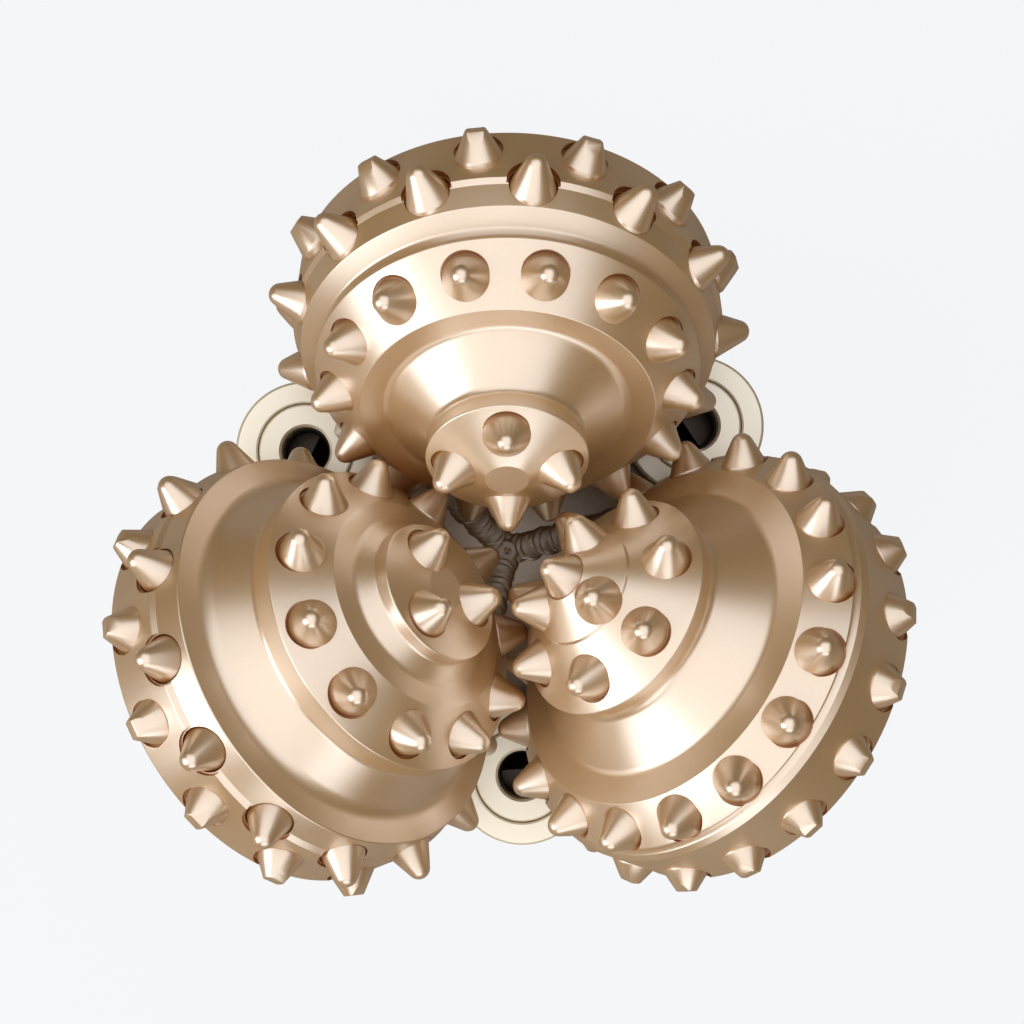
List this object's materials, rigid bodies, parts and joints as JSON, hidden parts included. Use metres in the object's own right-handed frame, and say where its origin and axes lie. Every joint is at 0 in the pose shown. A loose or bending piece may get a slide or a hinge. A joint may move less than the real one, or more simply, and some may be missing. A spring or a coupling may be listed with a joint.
{
  "type": "roller cone drill bit",
  "caption": "Rotary drill bit with intermeshing insert-studded roller cones on sealed journal bearings, jet nozzles, grease reservoirs and a tapered pin.",
  "frame": {"origin": "on the bit's axis, in the plane of the pin's nose", "axes": "+Z along the bit's axis from the pin towards the cones; +Y towards leg A"},
  "size_m": [0.2116, 0.2016, 0.264],
  "materials": {
    "gold_paint": "satin metallic paint",
    "bearing_steel": "ground",
    "bearing_bronze": "turned",
    "carbide": "sintered and ground",
    "seal_rubber": "smooth",
    "zinc_steel": "plated"
  },
  "bodies": {
    "bit_body": {"leg_a": "gold_paint", "thrust_washer_a": "bearing_bronze", "ball_plug_a": "bearing_steel", "nozzle_retainer_a": "gold_paint", "nozzle_a": "carbide", "nozzle_o_ring_a": "seal_rubber", "reservoir_lock_ring_a": "zinc_steel", "reservoir_cap_a": "gold_paint", "reservoir_canister_a": "bearing_steel", "reservoir_diaphragm_a": "seal_rubber", "leg_b": "gold_paint", "thrust_washer_b": "bearing_bronze", "ball_plug_b": "bearing_steel", "nozzle_retainer_b": "gold_paint", "nozzle_b": "carbide", "nozzle_o_ring_b": "seal_rubber", "reservoir_lock_ring_b": "zinc_steel", "reservoir_cap_b": "gold_paint", "reservoir_canister_b": "bearing_steel", "reservoir_diaphragm_b": "seal_rubber", "leg_c": "gold_paint", "thrust_washer_c": "bearing_bronze", "ball_plug_c": "bearing_steel", "nozzle_retainer_c": "gold_paint", "nozzle_c": "carbide", "nozzle_o_ring_c": "seal_rubber", "reservoir_lock_ring_c": "zinc_steel", "reservoir_cap_c": "gold_paint", "reservoir_canister_c": "bearing_steel", "reservoir_diaphragm_c": "seal_rubber"},
    "cone_a_body": {"cone_a": "gold_paint", "journal_bushing_a": "bearing_bronze", "pilot_bushing_a": "bearing_bronze", "cone_seal_a": "seal_rubber"},
    "ball_ring_a_body": {"ball_ring_a": "bearing_steel"},
    "cone_b_body": {"cone_b": "gold_paint", "journal_bushing_b": "bearing_bronze", "pilot_bushing_b": "bearing_bronze", "cone_seal_b": "seal_rubber"},
    "ball_ring_b_body": {"ball_ring_b": "bearing_steel"},
    "cone_c_body": {"cone_c": "gold_paint", "journal_bushing_c": "bearing_bronze", "pilot_bushing_c": "bearing_bronze", "cone_seal_c": "seal_rubber"},
    "ball_ring_c_body": {"ball_ring_c": "bearing_steel"}
  },
  "joints": [
    {"name": "cone_a_spin", "type": "hinge", "parent": "bit_body", "child": "cone_a_body", "pos_m": [-0.0008, 0, 0.25], "axis": [0, 0.8039, -0.5948], "continuous": true},
    {"name": "ball_ring_a_spin", "type": "hinge", "parent": "bit_body", "child": "ball_ring_a_body", "pos_m": [-0.0008, 0, 0.25], "axis": [0, 0.8039, -0.5948], "continuous": true},
    {"name": "cone_b_spin", "type": "hinge", "parent": "bit_body", "child": "cone_b_body", "pos_m": [0.0004, -0.00069, 0.25], "axis": [-0.6962, -0.4019, -0.5948], "continuous": true},
    {"name": "ball_ring_b_spin", "type": "hinge", "parent": "bit_body", "child": "ball_ring_b_body", "pos_m": [0.0004, -0.00069, 0.25], "axis": [-0.6962, -0.4019, -0.5948], "continuous": true},
    {"name": "cone_c_spin", "type": "hinge", "parent": "bit_body", "child": "cone_c_body", "pos_m": [0.0004, 0.00069, 0.25], "axis": [0.6962, -0.4019, -0.5948], "continuous": true},
    {"name": "ball_ring_c_spin", "type": "hinge", "parent": "bit_body", "child": "ball_ring_c_body", "pos_m": [0.0004, 0.00069, 0.25], "axis": [0.6962, -0.4019, -0.5948], "continuous": true}
  ],
  "couplings": [
    {"joint": "ball_ring_a_spin", "follows": "cone_a_spin", "ratio": 0.5},
    {"joint": "ball_ring_b_spin", "follows": "cone_b_spin", "ratio": 0.5},
    {"joint": "ball_ring_c_spin", "follows": "cone_c_spin", "ratio": 0.5}
  ]
}
